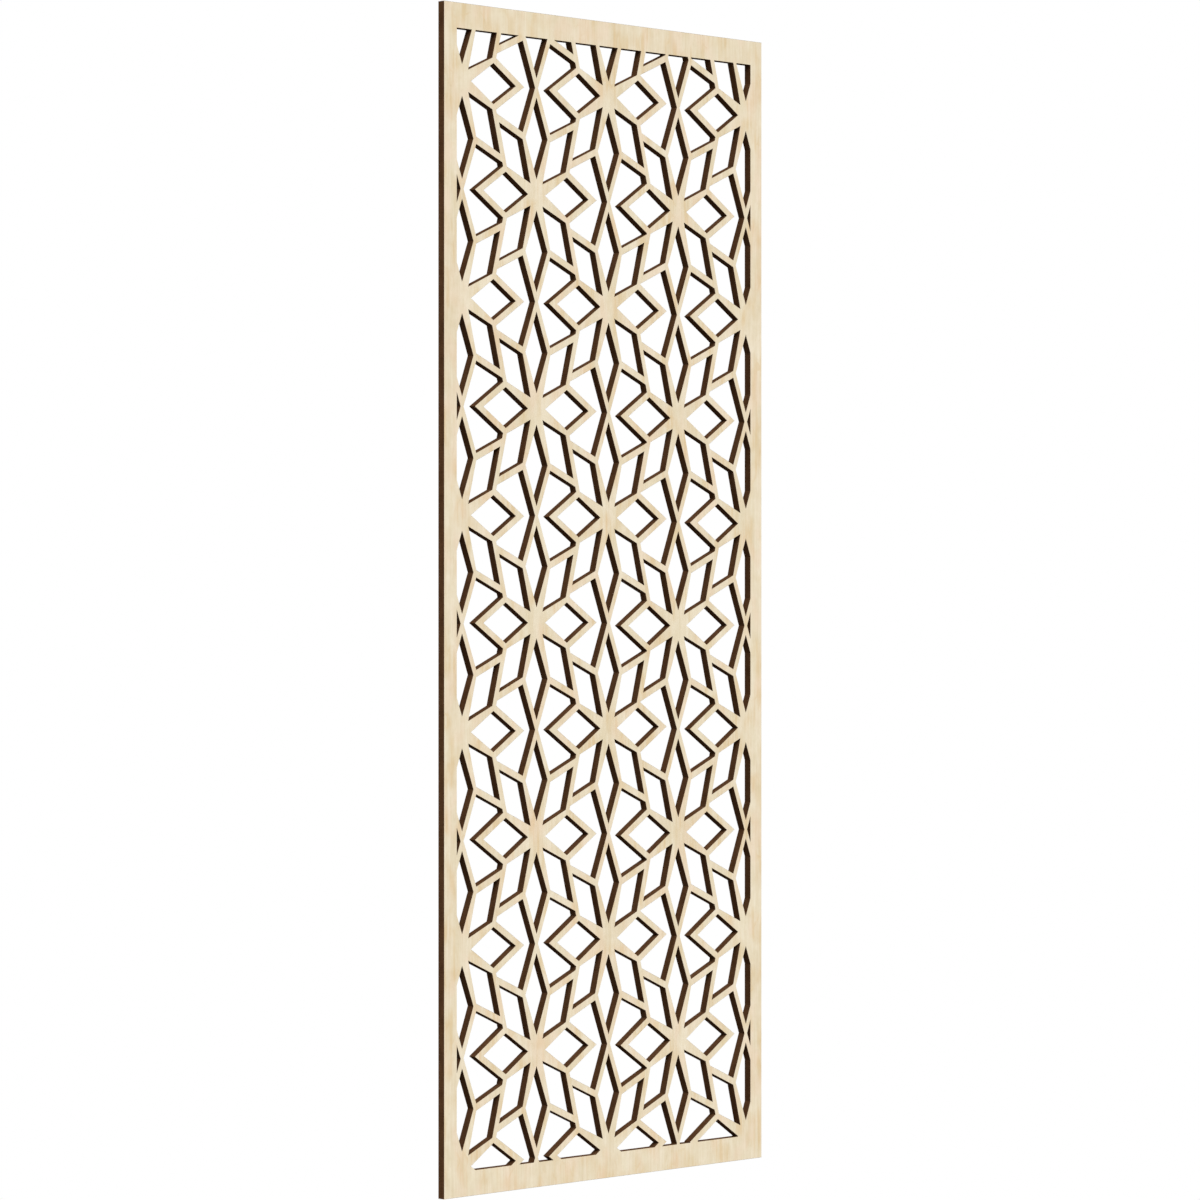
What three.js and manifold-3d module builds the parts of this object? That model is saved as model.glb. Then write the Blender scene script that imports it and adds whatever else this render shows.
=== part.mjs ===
import * as THREE from 'three';
import { mergeVertices } from 'three/addons/utils/BufferGeometryUtils.js';
import Module from 'manifold-3d';

// Fretwork wall panel: one veneered sheet, cut through with a lattice of eight-petalled stars
// inside a plain margin. Millimetres, +Z up, the front face looks along -Y.
// The origin is on the back face, at the middle of the top rail.

// Sheet and its plain margin
const panelWidth = 355.6;
const panelHeight = 914.4;
const sheetThickness = 6.35;
const stileWidth = 13.4;
const railWidth = 19.5;

// Star petals are rhombic windows, each with a strap of even width round it. The lattice is drawn
// with regular stars, and its widths are then squeezed by this factor.
const sidewaysSqueeze = 0.7543;
const petalsPerStar = 8;
const petalInnerReach = 12.42;
const petalOuterReach = 75.44;
const petalWidth = 31.46;
const strapWidth = 5.46;

// Places of the stars. One below the other, their upright petals end this far short of the
// halfway point, where the straps cross. From column to column, slanting petals that face each
// other leave a strap of this width between them.
const petalToCrossing = 7.835;
const facingStrapWidth = 6.29;

// Every second column is staggered by half a repeat, less this lift. All columns right of the
// middle one, which is on the panel's centre line, hang slightly lower.
const staggerLift = 0.445;
const rightSideDrop = 2.72;
const firstStarDrop = 59.0;

// How far a cutter runs past each face of the sheet
const cutterOvershoot = 2;

const wasm = await Module();
wasm.setup();

const topEdge = railWidth / 2;
const bottomEdge = topEdge - panelHeight;

const petalMiddleReach = (petalInnerReach + petalOuterReach) / 2;
const petalHalfLength = (petalOuterReach - petalInnerReach) / 2;
const petalHalfWidth = petalWidth / 2;

// Scaling a petal about its middle by this much moves its edges out by one strap width
const petalInradius = petalHalfLength * petalHalfWidth / Math.hypot(petalHalfLength, petalHalfWidth);
const strapScale = 1 + strapWidth / petalInradius;

const petalTurns = Array.from({ length: petalsPerStar }, (_, i) => i * 2 * Math.PI / petalsPerStar);

// Pitches in the unsqueezed drawing. The edges of the facing petals lean from upright by facingLean.
const starPitch = 2 * (petalOuterReach + petalToCrossing);
const staggerDrop = starPitch / 2 - staggerLift;
const petalTipAngle = Math.atan2(petalHalfWidth, petalHalfLength);
const facingLean = petalTurns[1] - petalTipAngle;
const columnPitch = (
  facingStrapWidth
  + 2 * petalOuterReach * Math.sin(petalTipAngle)
  + staggerDrop * Math.sin(facingLean)
) / Math.cos(facingLean);

// The centre of a star in the unsqueezed drawing. Column 0 is the middle one, row 0 the first
// row below the top rail.
function starCentre(column, row) {
  const isStaggered = column % 2 !== 0;
  const columnDrop = (isStaggered ? staggerDrop : 0) + (column > 0 ? rightSideDrop : 0);
  return new THREE.Vector2(
    column * columnPitch,
    topEdge - firstStarDrop - columnDrop - row * starPitch,
  );
}

// All stars with a petal that could show on the panel
function starCentres() {
  const outerColumn = Math.ceil(panelWidth / 2 / (columnPitch * sidewaysSqueeze));
  const firstRow = -Math.ceil((firstStarDrop + staggerDrop + petalOuterReach) / starPitch);
  const lastRow = Math.ceil(panelHeight / starPitch);
  const stars = [];
  for (let column = -outerColumn; column <= outerColumn; column += 1) {
    for (let row = firstRow; row <= lastRow; row += 1) stars.push(starCentre(column, row));
  }
  return stars;
}

// A shape in the sheet from points given about a star's centre
function squeezedShape(star, points) {
  return new THREE.Shape(points.map((point) => (
    new THREE.Vector2((star.x + point.x) * sidewaysSqueeze, star.y + point.y)
  )));
}

// The rhombus of one petal, which points away from its star at the given turn from straight up
function petalShape(star, turn, scale) {
  const corners = [
    new THREE.Vector2(0, petalMiddleReach - petalHalfLength * scale),
    new THREE.Vector2(petalHalfWidth * scale, petalMiddleReach),
    new THREE.Vector2(0, petalMiddleReach + petalHalfLength * scale),
    new THREE.Vector2(-petalHalfWidth * scale, petalMiddleReach),
  ];
  const centre = new THREE.Vector2();
  return squeezedShape(star, corners.map((corner) => corner.rotateAround(centre, turn)));
}

// The solid heart of a star, with a corner at the inner end of each petal
function heartShape(star) {
  const centre = new THREE.Vector2();
  return squeezedShape(star, petalTurns.map((turn) => (
    new THREE.Vector2(0, petalInnerReach).rotateAround(centre, turn)
  )));
}

function rectangleShape(left, bottom, right, top) {
  return new THREE.Shape([
    new THREE.Vector2(left, bottom),
    new THREE.Vector2(right, bottom),
    new THREE.Vector2(right, top),
    new THREE.Vector2(left, top),
  ]);
}

// An upright plate with the given outline, from the back face at Y = 0 to the front face, and
// past both faces by the overshoot
function plate(shape, overshoot) {
  const geometry = new THREE.ExtrudeGeometry(shape, {
    depth: sheetThickness + 2 * overshoot,
    bevelEnabled: false,
  });
  geometry.translate(0, 0, -overshoot);
  geometry.rotateX(Math.PI / 2);
  geometry.deleteAttribute('normal');
  geometry.deleteAttribute('uv');
  const merged = mergeVertices(geometry);
  return new wasm.Manifold(new wasm.Mesh({
    numProp: 3,
    vertProperties: merged.attributes.position.array,
    triVerts: merged.index.array,
  }));
}

// The solids that the given function makes for each star of the lattice, joined into one
function joinedStars(shapesOfStar) {
  const shapes = starCentres().flatMap(shapesOfStar);
  return wasm.Manifold.union(shapes.map((shape) => plate(shape, 2 * cutterOvershoot)));
}

function fretworkGeometry() {
  const sheet = plate(rectangleShape(-panelWidth / 2, bottomEdge, panelWidth / 2, topEdge), 0);
  const opening = plate(rectangleShape(
    -panelWidth / 2 + stileWidth,
    bottomEdge + railWidth,
    panelWidth / 2 - stileWidth,
    topEdge - railWidth,
  ), cutterOvershoot);
  const petals = joinedStars((star) => petalTurns.map((turn) => petalShape(star, turn, 1)));
  const straps = joinedStars((star) => petalTurns.map((turn) => petalShape(star, turn, strapScale)));
  const hearts = joinedStars(heartShape);
  const lattice = straps.add(hearts).subtract(petals);
  const windows = opening.subtract(lattice);
  const panel = sheet.subtract(windows).getMesh();

  const geometry = new THREE.BufferGeometry();
  geometry.setAttribute('position', new THREE.BufferAttribute(panel.vertProperties, panel.numProp));
  geometry.setIndex(new THREE.BufferAttribute(panel.triVerts, 1));
  return geometry;
}

const birchVeneer = new THREE.MeshStandardMaterial({
  color: 0xecdbbe,
  roughness: 0.6,
  metalness: 0,
  flatShading: true,
});

const fretworkPanel = new THREE.Mesh(fretworkGeometry(), birchVeneer);
fretworkPanel.name = 'fretwork_panel';

const part = new THREE.Group();
part.add(fretworkPanel);

export default part;
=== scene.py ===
import math
import bmesh
import bpy
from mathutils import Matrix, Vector


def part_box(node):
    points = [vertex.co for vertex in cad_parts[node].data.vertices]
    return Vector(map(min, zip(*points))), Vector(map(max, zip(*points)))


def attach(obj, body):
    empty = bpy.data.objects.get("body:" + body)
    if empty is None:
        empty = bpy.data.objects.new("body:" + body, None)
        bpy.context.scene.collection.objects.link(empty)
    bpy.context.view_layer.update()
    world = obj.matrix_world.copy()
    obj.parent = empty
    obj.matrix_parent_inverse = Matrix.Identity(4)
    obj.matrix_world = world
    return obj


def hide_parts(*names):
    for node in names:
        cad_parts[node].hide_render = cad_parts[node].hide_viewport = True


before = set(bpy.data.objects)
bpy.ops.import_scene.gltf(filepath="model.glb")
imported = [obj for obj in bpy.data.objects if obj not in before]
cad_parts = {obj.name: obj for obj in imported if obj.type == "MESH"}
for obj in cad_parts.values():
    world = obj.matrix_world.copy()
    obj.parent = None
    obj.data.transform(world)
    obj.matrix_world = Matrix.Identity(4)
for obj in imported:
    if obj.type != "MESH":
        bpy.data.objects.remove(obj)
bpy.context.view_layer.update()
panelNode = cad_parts["fretwork_panel"]
panelLow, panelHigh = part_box("fretwork_panel")
panelMiddle = (panelLow + panelHigh) / 2
mm = 0.001


# Nodes and colours

def paint(hexCode):
    # a colour as picked on screen, made linear by the sRGB curve
    channels = [int(hexCode[i:i + 2], 16) / 255 for i in (0, 2, 4)]
    return tuple(c / 12.92 if c <= 0.04045 else ((c + 0.055) / 1.055) ** 2.4 for c in channels) + (1.0,)


def plug(tree, value, socket):
    # a link where the value comes from another node, else a plain value
    if isinstance(value, bpy.types.NodeSocket):
        tree.links.new(value, socket)
    else:
        socket.default_value = value


def addNode(tree, kind, inputs, **settings):
    node = tree.nodes.new(kind)
    for name, value in settings.items():
        setattr(node, name, value)
    for name, value in inputs.items():
        socket = next(s for s in node.inputs if s.name == name and s.enabled)
        plug(tree, value, socket)
    return node


def result(node):
    return next(s for s in node.outputs if s.enabled)


def combined(tree, operation, *terms):
    node = addNode(tree, "ShaderNodeMath", {}, operation=operation)
    for socket, term in zip(node.inputs, terms):
        plug(tree, term, socket)
    return result(node)


def mixed(tree, factor, first, second):
    inputs = {"Factor": factor, "A": first, "B": second}
    return result(addNode(tree, "ShaderNodeMix", inputs, data_type="RGBA"))


noiseLook = {
    "roughness": 0.55,
    "shiftAlong": (1.0, 0.37, 0.61),  # how much of its shift a layer moves along X, Y and Z
}


def stretchedNoise(tree, place, layer):
    # features have the layer's size along X, Y and Z; its shift keeps it from lining up with others
    scaled = addNode(tree, "ShaderNodeMapping", {
        "Vector": place,
        "Location": tuple(layer["shift"] * amount for amount in noiseLook["shiftAlong"]),
        "Scale": tuple(1 / size for size in layer["size"]),
    })
    return result(addNode(tree, "ShaderNodeTexNoise", {
        "Vector": result(scaled),
        "Scale": 1.0,
        "Detail": layer["detail"],
        "Roughness": noiseLook["roughness"],
    }))


def softStep(tree, value, step):
    # from the first share to the second as the value goes from the first limit to the second
    low, high = step["limits"]
    fromShare, toShare = step["shares"]
    return result(addNode(tree, "ShaderNodeMapRange", {
        "Value": value, "From Min": low, "From Max": high, "To Min": fromShare, "To Max": toShare,
    }, interpolation_type="SMOOTHSTEP"))


def patches(tree, place, layer):
    return softStep(tree, stretchedNoise(tree, place, layer), layer)


def addRelief(tree, shader, height, relief):
    bump = addNode(tree, "ShaderNodeBump", {
        "Strength": relief["strength"], "Distance": relief["depth"], "Height": height,
    })
    plug(tree, bump.outputs["Normal"], shader.inputs["Normal"])


def newMaterial(name):
    material = bpy.data.materials.new(name)
    material.use_nodes = True
    return material, material.node_tree.nodes["Principled BSDF"]


def objectPlace(tree):
    return tree.nodes.new("ShaderNodeTexCoord").outputs["Object"]


# Veneer of the faces

veneerLook = {
    "pale": "f5ead4",
    "deep": "d9c7a3",
    "honey": "d8b57a",
    "pinkTint": "f1cfb6",
    "greenTint": "dbd8ae",
    "poreTint": "b8945f",
    "tone": {  # each layer's share is how strongly it shows
        "cloud": {"size": (44 * mm, 44 * mm, 75 * mm), "shift": 3.1, "detail": 2, "share": 0.4},
        "band": {"size": (12 * mm, 12 * mm, 60 * mm), "shift": 11.4, "detail": 2, "share": 0.55},
        "streak": {"size": (2.6 * mm, 2.6 * mm, 45 * mm), "shift": 19.7, "detail": 2, "share": 0.75},
        "curl": {"size": (8 * mm, 8 * mm, 9 * mm), "shift": 28.0, "detail": 2, "share": 0.55},
        "fibre": {"size": (0.6 * mm, 0.6 * mm, 14 * mm), "shift": 36.3, "detail": 2, "share": 0.45},
    },
    "zone": {  # where honey streaks and rings show
        "size": (15 * mm, 15 * mm, 28 * mm), "shift": 33.9, "detail": 1,
        "limits": (0.42, 0.70), "shares": (0.0, 1.0),
    },
    "honeyStreak": {
        "size": (3.0 * mm, 3.0 * mm, 50 * mm), "shift": 27.3, "detail": 2,
        "limits": (0.40, 0.64), "shares": (0.12, 0.5),
    },
    "ring": {
        "size": (38 * mm, 38 * mm, 60 * mm), "shift": 71.3, "detail": 2,
        "pitch": 15 * mm, "wander": 9.0,
        "limits": (0.55, 0.97), "shares": (0.0, 0.42),
    },
    "blush": {"size": (14 * mm, 14 * mm, 28 * mm), "shift": 51.7, "detail": 1},
    "pinkStep": {"limits": (0.5, 0.7), "shares": (0.0, 0.20)},
    "greenStep": {"limits": (0.5, 0.3), "shares": (0.0, 0.08)},
    "pore": {
        "size": (0.3 * mm, 0.3 * mm, 3.4 * mm), "shift": 63.1, "detail": 0,
        "limits": (0.70, 0.80), "shares": (0.0, 0.22),
    },
    "roughness": {"limits": (0.3, 0.7), "shares": (0.50, 0.62)},  # follows the streaks
    "specular": 0.3,
    "relief": {"strength": 0.5, "depth": 0.03 * mm},
}


def woodTone(tree, place, layers):
    # every noise is 0.5 on average, and so is the tone that the layers make together
    average = 0.5
    noises = {}
    tone = average
    for name, layer in layers.items():
        noises[name] = stretchedNoise(tree, place, layer)
        offCentre = combined(tree, "SUBTRACT", noises[name], average)
        tone = combined(tree, "ADD", tone, combined(tree, "MULTIPLY", offCentre, layer["share"]))
    return tone, noises


def growthRings(tree, place, ring):
    # contour lines of a slow upright field, each dark on one side only
    # they run up the sheet and arch over
    wander = combined(tree, "MULTIPLY", stretchedNoise(tree, place, ring), ring["wander"])
    across = addNode(tree, "ShaderNodeSeparateXYZ", {"Vector": place}).outputs["X"]
    field = combined(tree, "ADD", combined(tree, "DIVIDE", across, ring["pitch"]), wander)
    return softStep(tree, combined(tree, "FRACT", field), ring)


def birchVeneer(look):
    material, shader = newMaterial("birchVeneer")
    tree = material.node_tree
    place = objectPlace(tree)
    tone, noises = woodTone(tree, place, look["tone"])
    colour = mixed(tree, tone, paint(look["pale"]), paint(look["deep"]))

    # honey streaks and rings, only in some zones of the sheet
    streaks = patches(tree, place, look["honeyStreak"])
    lines = combined(tree, "MAXIMUM", streaks, growthRings(tree, place, look["ring"]))
    honey = combined(tree, "MULTIPLY", patches(tree, place, look["zone"]), lines)
    colour = mixed(tree, honey, colour, paint(look["honey"]))

    # a faint blush, pink in places and greenish in others
    blush = stretchedNoise(tree, place, look["blush"])
    colour = mixed(tree, softStep(tree, blush, look["pinkStep"]), colour, paint(look["pinkTint"]))
    colour = mixed(tree, softStep(tree, blush, look["greenStep"]), colour, paint(look["greenTint"]))

    pores = patches(tree, place, look["pore"])
    plug(tree, mixed(tree, pores, colour, paint(look["poreTint"])), shader.inputs["Base Color"])
    plug(tree, softStep(tree, noises["streak"], look["roughness"]), shader.inputs["Roughness"])
    shader.inputs["Specular IOR Level"].default_value = look["specular"]
    addRelief(tree, shader, combined(tree, "SUBTRACT", noises["fibre"], pores), look["relief"])
    return material


# Scorched wood of the cut edges

cutEdgeLook = {
    "char": "472f1d",
    "brown": "5d412b",
    "cloud": {
        "size": (14 * mm, 5 * mm, 14 * mm), "shift": 7.7, "detail": 2,
        "limits": (0.3, 0.7), "shares": (0.0, 0.5),
    },
    "stroke": {  # the beam's marks, from face to face
        "size": (0.45 * mm, 7 * mm, 0.45 * mm), "shift": 19.1, "detail": 2,
        "limits": (0.3, 0.7), "shares": (0.0, 0.5),
    },
    "roughness": {"limits": (0.3, 0.7), "shares": (0.62, 0.8)},  # follows the strokes
    "specular": 0.0,  # char has no gloss
    "relief": {"strength": 0.6, "depth": 0.05 * mm},
}


def scorchedEdge(look):
    material, shader = newMaterial("scorchedEdge")
    tree = material.node_tree
    place = objectPlace(tree)
    clouds = patches(tree, place, look["cloud"])
    strokes = stretchedNoise(tree, place, look["stroke"])
    tone = combined(tree, "ADD", clouds, softStep(tree, strokes, look["stroke"]))
    plug(tree, mixed(tree, tone, paint(look["char"]), paint(look["brown"])), shader.inputs["Base Color"])
    plug(tree, softStep(tree, strokes, look["roughness"]), shader.inputs["Roughness"])
    shader.inputs["Specular IOR Level"].default_value = look["specular"]
    addRelief(tree, shader, strokes, look["relief"])
    return material


# The panel: the frame's own solid, with the sharp arrises of its front sanded off

panelSizes = {
    "mergeWithin": 0.002 * mm,
    "arris": 0.15 * mm,
    "flatWithin": 0.1,  # degrees that triangles of one flat face may differ by
    "veneerFacing": 0.99,  # a face is veneer when this much of its normal points forward or back
}
frontLimit = panelLow.y + panelSizes["mergeWithin"]


def isOnFront(element):
    return all(v.co.y < frontLimit for v in element.verts)


def isWithinFront(edge):
    return all(isOnFront(face) for face in edge.link_faces)


def sandFrontArrises(bm, sizes):
    # the front's loose triangles become a few large polygons first, because slivers would fold over
    seams = [e for e in bm.edges if isWithinFront(e)]
    bmesh.ops.dissolve_limit(bm, angle_limit=math.radians(sizes["flatWithin"]), edges=seams)
    front = [f for f in bm.faces if isOnFront(f)]
    bmesh.ops.inset_region(
        bm, faces=front, use_boundary=True, use_even_offset=True, thickness=sizes["arris"], depth=0,
    )
    outline = {v for e in bm.edges if isOnFront(e) and not isWithinFront(e) for v in e.verts}
    bmesh.ops.translate(bm, verts=list(outline), vec=(0, sizes["arris"], 0))
    bmesh.ops.triangulate(bm, faces=front, ngon_method="BEAUTY")
    bm.normal_update()


def buildPanel(sizes):
    bm = bmesh.new()
    bm.from_mesh(panelNode.data)
    bmesh.ops.remove_doubles(bm, verts=bm.verts, dist=sizes["mergeWithin"])
    sandFrontArrises(bm, sizes)
    for face in bm.faces:
        isVeneer = abs(face.normal.y) > sizes["veneerFacing"]
        face.smooth = False
        face.material_index = 0 if isVeneer else 1
    mesh = bpy.data.meshes.new("fretworkPanel")
    bm.to_mesh(mesh)
    bm.free()
    piece = bpy.data.objects.new("fretworkPanel", mesh)
    bpy.context.scene.collection.objects.link(piece)
    mesh.materials.append(birchVeneer(veneerLook))
    mesh.materials.append(scorchedEdge(cutEdgeLook))
    return piece


fretworkPanel = buildPanel(panelSizes)
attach(fretworkPanel, "root")
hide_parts("fretwork_panel")
print("panel:", len(fretworkPanel.data.polygons), "faces")


# Floor, light and camera

studio = {
    "floorRadius": 3.5,
    "floorDrop": 1.1,  # the panel hangs this high above the floor, as on a wall
    "floorSides": 96,
    "floorColour": "e6e6e6",
    "floorRoughness": 0.9,
    "background": "ffffff",
    "backgroundGlow": 1.0,  # as the camera sees it
    "ambient": 0.20,  # as it lights the panel
    "lampDistance": 2.0,
    "lights": {  # the way to each light, its spread in degrees and its strength
        "keyLight": {"towards": (-0.348, -0.557, 0.752), "spread": 44, "strength": 3.1},
        "frontLight": {"towards": (0.0, -1.0, 0.0), "spread": 12, "strength": 0.85},
        "sideLight": {"towards": (-1.0, 0.0, 0.0), "spread": 12, "strength": 0.75},
        "rearLight": {"towards": (0.45, 0.78, 0.43), "spread": 24, "strength": 2.8},
    },
}


def buildFloor(look):
    bm = bmesh.new()
    bmesh.ops.create_circle(bm, cap_ends=True, segments=look["floorSides"], radius=look["floorRadius"])
    bmesh.ops.translate(bm, verts=bm.verts, vec=(0, 0, panelLow.z - look["floorDrop"]))
    mesh = bpy.data.meshes.new("floor")
    bm.to_mesh(mesh)
    bm.free()
    material, shader = newMaterial("paleFloor")
    shader.inputs["Base Color"].default_value = paint(look["floorColour"])
    shader.inputs["Roughness"].default_value = look["floorRoughness"]
    mesh.materials.append(material)
    floor = bpy.data.objects.new("floor", mesh)
    bpy.context.scene.collection.objects.link(floor)
    floor.visible_diffuse = False  # its bounced light would wash out the undersides of the cuts


def addSoftLight(name, light, distance):
    sun = bpy.data.lights.new(name, "SUN")
    sun.angle = math.radians(light["spread"])
    sun.energy = light["strength"]
    lamp = bpy.data.objects.new(name, sun)
    bpy.context.scene.collection.objects.link(lamp)
    towards = Vector(light["towards"])
    lamp.location = panelMiddle + towards * distance
    lamp.rotation_euler = towards.to_track_quat("Z", "Y").to_euler()


def buildWorld(look):
    world = bpy.data.worlds.new("studioWorld")
    bpy.context.scene.world = world
    world.use_nodes = True
    tree = world.node_tree
    tree.nodes.clear()
    white = paint(look["background"])
    seen = addNode(tree, "ShaderNodeBackground", {"Color": white, "Strength": look["backgroundGlow"]})
    ambient = addNode(tree, "ShaderNodeBackground", {"Color": white, "Strength": look["ambient"]})
    isSeen = tree.nodes.new("ShaderNodeLightPath").outputs["Is Camera Ray"]
    mix = tree.nodes.new("ShaderNodeMixShader")
    plug(tree, isSeen, mix.inputs[0])
    plug(tree, result(ambient), mix.inputs[1])
    plug(tree, result(seen), mix.inputs[2])
    output = tree.nodes.new("ShaderNodeOutputWorld")
    plug(tree, result(mix), output.inputs["Surface"])


photoView = {
    "azimuth": -45.0,  # degrees from the front, to the panel's left
    "distance": 3.4427,
    "aim": (-9.6 * mm, 0, 0),  # from the middle of the front face
    "lens": 130.74,
    "sensorWidth": 36,
    "clipEnd": 60,
}


def buildCamera(view):
    data = bpy.data.cameras.new("photoCamera")
    data.lens = view["lens"]
    data.sensor_width = view["sensorWidth"]
    data.clip_end = view["clipEnd"]
    camera = bpy.data.objects.new("photoCamera", data)
    bpy.context.scene.collection.objects.link(camera)
    turn = math.radians(view["azimuth"])
    aim = Vector((panelMiddle.x, panelLow.y, panelMiddle.z)) + Vector(view["aim"])
    camera.location = aim + Vector((math.sin(turn), -math.cos(turn), 0)) * view["distance"]
    camera.rotation_euler = (math.radians(90), 0, turn)  # level
    bpy.context.scene.camera = camera


buildFloor(studio)
for lightName, light in studio["lights"].items():
    addSoftLight(lightName, light, studio["lampDistance"])
buildWorld(studio)
buildCamera(photoView)
bpy.context.scene.view_settings.view_transform = "Standard"  # screen colours come out as picked
print("studio: floor, lights and camera")
